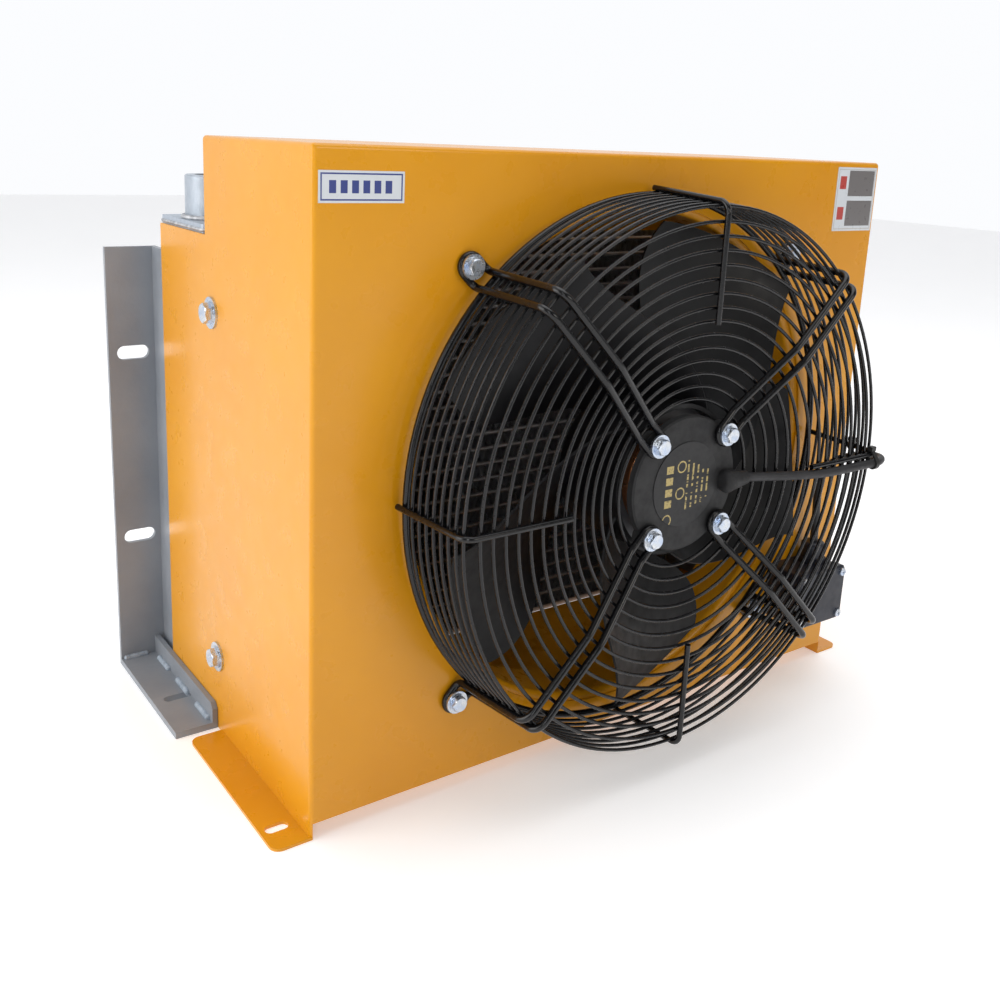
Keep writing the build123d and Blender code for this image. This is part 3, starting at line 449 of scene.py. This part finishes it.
def paint_nodes():
    navy, ash, red = (0.03, 0.05, 0.22), (0.16, 0.15, 0.15), (0.45, 0.05, 0.04)
    bars = [(0.12 + 0.13 * i, 0.2 + 0.13 * i, 0.3, 0.7, navy) for i in range(6)]
    panels = [(0.3, 0.95, 0.55, 0.95, ash), (0.3, 0.95, 0.08, 0.48, ash),
              (0.08, 0.24, 0.66, 0.86, red), (0.08, 0.24, 0.18, 0.38, red)]
    arms = [f"guard_arm_{i}" for i in range(1, 5)]
    blades = [f"fan_blade_{i}" for i in range(1, 6)]
    pairs = [(f"left_{part}", f"right_{part}") for part in (
        "tank", "tank_caps", "oil_port", "mount_angle", "bracket_upright", "bracket_foot")]
    tank, caps, port, angle, upright, foot = pairs
    paint(powder_coat(), "fan_shroud", "inlet_ring")
    paint(painted_grey(), *upright, *foot, *angle)
    paint(brushed_aluminium(), *tank, *caps)
    paint(cast_aluminium(), *port)
    paint(mill_aluminium(), "core_tubes", "core_end_plates")
    paint(black_wire(), "guard_back_ring", "guard_side_rings", "guard_face_rings",
          "guard_cone_rings", "guard_ribs", *arms)
    paint(black_sheet(), "rotor_can", *blades)
    paint(motor_casting(), "motor_end_shield")
    paint(motor_plate(), "motor_plate")
    paint(zinc_plate(), "guard_bolts", "guard_washers", "guard_nuts", "motor_bolts",
          "motor_washers", "side_bolts", "side_washers", "side_nuts", "junction_box_screws")
    paint(ground_steel("bearing_steel", (0.5, 0.5, 0.51), (0.66, 0.66, 0.67), 0.12, 0.22),
          "bearing_outer_rings", "bearing_inner_rings", "bearing_balls")
    paint(ground_steel("shaft_steel", (0.36, 0.36, 0.37), (0.5, 0.5, 0.51), 0.24, 0.36),
          "rotor_shaft")
    paint(laminations(), "stator_core", "rotor_cage")
    paint(winding_copper(), "stator_windings")
    paint(sheath_rubber(), "motor_lead")
    paint(moulded("tie_nylon", (0.008, 0.008, 0.008), (0.016, 0.016, 0.016), 0.4, 0.55, 600),
          "cable_ties")
    paint(moulded("box_plastic", (0.007, 0.009, 0.018), (0.013, 0.016, 0.028), 0.34, 0.5, 900),
          "junction_box_base", "junction_box_lid", "lead_gland", "supply_gland")
    paint(moulded("terminal_plastic", (0.5, 0.48, 0.42), (0.6, 0.58, 0.52), 0.4, 0.55, 500),
          "terminal_block")
    paint(printed_label("model_label_print", "model_label", navy, bars), "model_label")
    paint(printed_label("info_label_print", "info_label", (0.5, 0.5, 0.5), panels), "info_label")


# ---------------------------------------------------------------- pieces made here
TUBES = 25
TUBE_T = 3 * MM
FOIL_T = 0.15 * MM
FIN_PITCH = 3.2 * MM
FIN_CREST = 0.22           # share of each fold that lies flat on a tube
WELD_RIPPLE = 2.4 * MM     # spacing of the crescents in a bead
WELD_SWELL = 0.14          # how much a bead's radius varies over each crescent
TANK_BEAD_R = 1.5 * MM
PORT_BEAD_R = 2.0 * MM
TANK_CORNER_R = 3 * MM
TANK_BEAD_INSET = 0.4 * MM
PORT_BEAD_UP = 1.3 * MM
PORT_BEAD_INSET = 1.6 * MM
BRACKET_T = 4 * MM
STITCH_R = 2.6 * MM
STITCH_L = 26 * MM
STITCH_SPACING = 44 * MM
STITCHES = 3
STITCH_START = 6 * MM      # bare length left before the first stitch
STITCH_OFF = 0.6 * MM      # how far a stitch's middle stands off the corner that it fills
FLOOR_HALF = 6.0


def add_piece(name, mesh, material, body="root"):
    mesh.materials.append(material)
    piece = bpy.data.objects.new(name, mesh)
    bpy.context.scene.collection.objects.link(piece)
    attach(piece, body)
    return piece


def mesh_from(name, points, faces, smooth=True):
    mesh = bpy.data.meshes.new(name)
    mesh.from_pydata(points, [], faces)
    work = bmesh.new()
    work.from_mesh(mesh)
    bmesh.ops.recalc_face_normals(work, faces=work.faces)
    work.to_mesh(mesh)
    work.free()
    mesh.polygons.foreach_set("use_smooth", [smooth] * len(mesh.polygons))
    return mesh


def ribbon(line, y0, y1, foil):
    """A strip of foil that follows a line of (x, z) points, from y0 to y1."""
    corners = ((y0, -foil / 2), (y1, -foil / 2), (y1, foil / 2), (y0, foil / 2))
    points = [(x, y, z + dz) for x, z in line for y, dz in corners]
    faces = [tuple(range(4)), tuple(4 * len(line) - 1 - j for j in range(4))]
    for i in range(len(line) - 1):
        a, b = 4 * i, 4 * (i + 1)
        faces += [(a + j, a + (j + 1) % 4, b + (j + 1) % 4, b + j) for j in range(4)]
    return points, faces


def fine_fins():
    """Folded foil between every pair of oil tubes, at the pitch of the real strips."""
    low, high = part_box("core_fins")
    tube_low, tube_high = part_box("core_tubes")
    step = (tube_high.z - tube_low.z - TUBE_T) / (TUBES - 1)
    bottoms = [low.z] + [tube_low.z + TUBE_T + step * i for i in range(TUBES)]
    tops = [tube_low.z + step * i for i in range(TUBES)] + [high.z]
    folds = int((high.x - low.x) / FIN_PITCH)
    pitch = (high.x - low.x) / folds
    points, faces = [], []
    for z0, z1 in zip(bottoms, tops):
        line = []
        for i in range(folds):
            z = (z1 - FOIL_T, z0 + FOIL_T)[i % 2]
            x = low.x + pitch * i
            line += [(x, z), (x + FIN_CREST * pitch, z)]
        first = len(points)
        more_points, more_faces = ribbon(line, low.y, high.y, FOIL_T)
        points += more_points
        faces += [tuple(first + corner for corner in face) for face in more_faces]
    piece = add_piece("fin_strips", mesh_from("fin_strips", points, faces, smooth=False),
                      fin_foil())
    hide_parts("core_fins")


def bead_mesh(name, line, closed, radius, sides=8):
    """A rippled weld bead along a line of points, each ripple a small crescent."""
    rings = []
    length = 0.0
    total = len(line)
    for i, point in enumerate(line):
        before = line[i - 1] if (closed or i) else line[0]
        after = line[(i + 1) % total] if (closed or i < total - 1) else line[-1]
        along = (after - before).normalized()
        side = along.cross(Vector((0, 0, 1)))
        side = side.normalized() if side.length > 1e-6 else Vector((1, 0, 0))
        up = side.cross(along)
        length += (point - line[i - 1]).length if i else 0.0
        swell = 1 - WELD_SWELL + WELD_SWELL * abs(math.sin(math.pi * length / WELD_RIPPLE))
        end = 1.0 if closed else min(1.0, 0.35 + 2.2 * min(i, total - 1 - i) / 6)
        r = radius * swell * end
        rings.append([point + (side * math.cos(a) + up * math.sin(a)) * r
                      for a in (2 * math.pi * j / sides for j in range(sides))])
    points = [point for ring in rings for point in ring]
    faces = []
    for i in range(total if closed else total - 1):
        a, b = sides * i, sides * ((i + 1) % total)
        for j in range(sides):
            k = (j + 1) % sides
            faces.append((a + j, a + k, b + k, b + j))
    if not closed:
        faces.append(tuple(range(sides - 1, -1, -1)))
        faces.append(tuple(sides * (total - 1) + j for j in range(sides)))
    return mesh_from(name, points, faces)


def round_line(middle, radius, step=0.8 * MM):
    count = int(2 * math.pi * radius / step)
    return [middle + Vector((math.cos(a), math.sin(a), 0)) * radius
            for a in (2 * math.pi * i / count for i in range(count))]


def straight_line(start, end, step=0.6 * MM):
    count = max(2, int((end - start).length / step))
    return [start.lerp(end, i / count) for i in range(count + 1)]


def rounded_outline(low, high, z, corner, step=0.8 * MM):
    """Closed line round a box's plan at one height."""
    line = []
    middles = [(high.x - corner, high.y - corner), (low.x + corner, high.y - corner),
               (low.x + corner, low.y + corner), (high.x - corner, low.y + corner)]
    for i, (x, y) in enumerate(middles):
        for j in range(5):
            a = math.pi / 2 * (i + j / 4)
            line.append(Vector((x + corner * math.cos(a), y + corner * math.sin(a), z)))
    full = []
    for a, b in zip(line, line[1:] + line[:1]):
        count = max(1, round((b - a).length / step))
        full += [a.lerp(b, i / count) for i in range(count)]
    return full


def tank_welds():
    """Beads round both ends of each tank and round the foot of its oil port."""
    metal = weld_metal("aluminium_weld", (0.34, 0.35, 0.37), (0.6, 0.61, 0.63), 0.8)
    inset = Vector((TANK_BEAD_INSET, TANK_BEAD_INSET, 0))
    for side in SIDES:
        low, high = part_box(f"{side}_tank")
        for end, z in (("bottom", low.z), ("top", high.z)):
            line = rounded_outline(low + inset, high - inset, z, TANK_CORNER_R)
            name = f"{side}_tank_weld_{end}"
            add_piece(name, bead_mesh(name, line, True, TANK_BEAD_R), metal)
        port_low, port_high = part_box(f"{side}_oil_port")
        middle = (port_low + port_high) / 2
        middle.z = port_low.z + PORT_BEAD_UP
        name = f"{side}_port_weld"
        line = round_line(middle, (port_high.x - port_low.x) / 2 - PORT_BEAD_INSET)
        add_piece(name, bead_mesh(name, line, True, PORT_BEAD_R), metal)


def bracket_beads():
    """Stitch welds on the brackets' floor legs, in place of the plain CAD beads."""
    metal = weld_metal("painted_weld", (0.27, 0.32, 0.38), (0.42, 0.48, 0.55), 0.0)
    foot_low, foot_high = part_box("left_bracket_foot")
    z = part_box("bracket_welds")[0].z + STITCH_OFF
    corner_x = foot_high.x - BRACKET_T
    lip_x = corner_x - STITCH_OFF
    back_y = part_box("left_bracket_upright")[1].y - BRACKET_T - STITCH_OFF
    for side, sign in zip(SIDES, (1, -1)):
        for i in range(STITCHES):
            y = foot_low.y + STITCH_START + STITCH_SPACING * i
            line = straight_line(Vector((sign * lip_x, y, z)), Vector((sign * lip_x, y + STITCH_L, z)))
            name = f"{side}_lip_weld_{i + 1}"
            mesh = bead_mesh(name, line, False, STITCH_R)
            add_piece(name, mesh, metal)
        line = straight_line(Vector((sign * (foot_low.x + 2 * MM), back_y, z)),
                             Vector((sign * (corner_x - STITCH_START), back_y, z)))
        name = f"{side}_upright_weld"
        mesh = bead_mesh(name, line, False, STITCH_R)
        add_piece(name, mesh, metal)
    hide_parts("bracket_welds")


def set_floor():
    """Plain white floor that glows a little, as a light table does."""
    look = Shader("pale_floor", 0.55, specular=0.2)
    look.colour(look.mix(look.noise(3, 4), (0.86, 0.86, 0.87), (0.9, 0.9, 0.91)))
    look.roughness(look.spread(look.noise(8, 4), 0.3, 0.7, 0.5, 0.65))
    look.surface.inputs["Emission Color"].default_value = (1, 1, 1, 1)
    look.surface.inputs["Emission Strength"].default_value = 0.3
    mesh = bpy.data.meshes.new("floor")
    half = FLOOR_HALF
    mesh.from_pydata([(-half, -half, 0), (half, -half, 0), (half, half, 0), (-half, half, 0)],
                     [], [(0, 1, 2, 3)])
    mesh.materials.append(look.material)
    floor = bpy.data.objects.new("floor", mesh)
    bpy.context.scene.collection.objects.link(floor)


set_camera()
set_world()
set_lights()
set_floor()
paint_nodes()
fine_fins()
tank_welds()
bracket_beads()
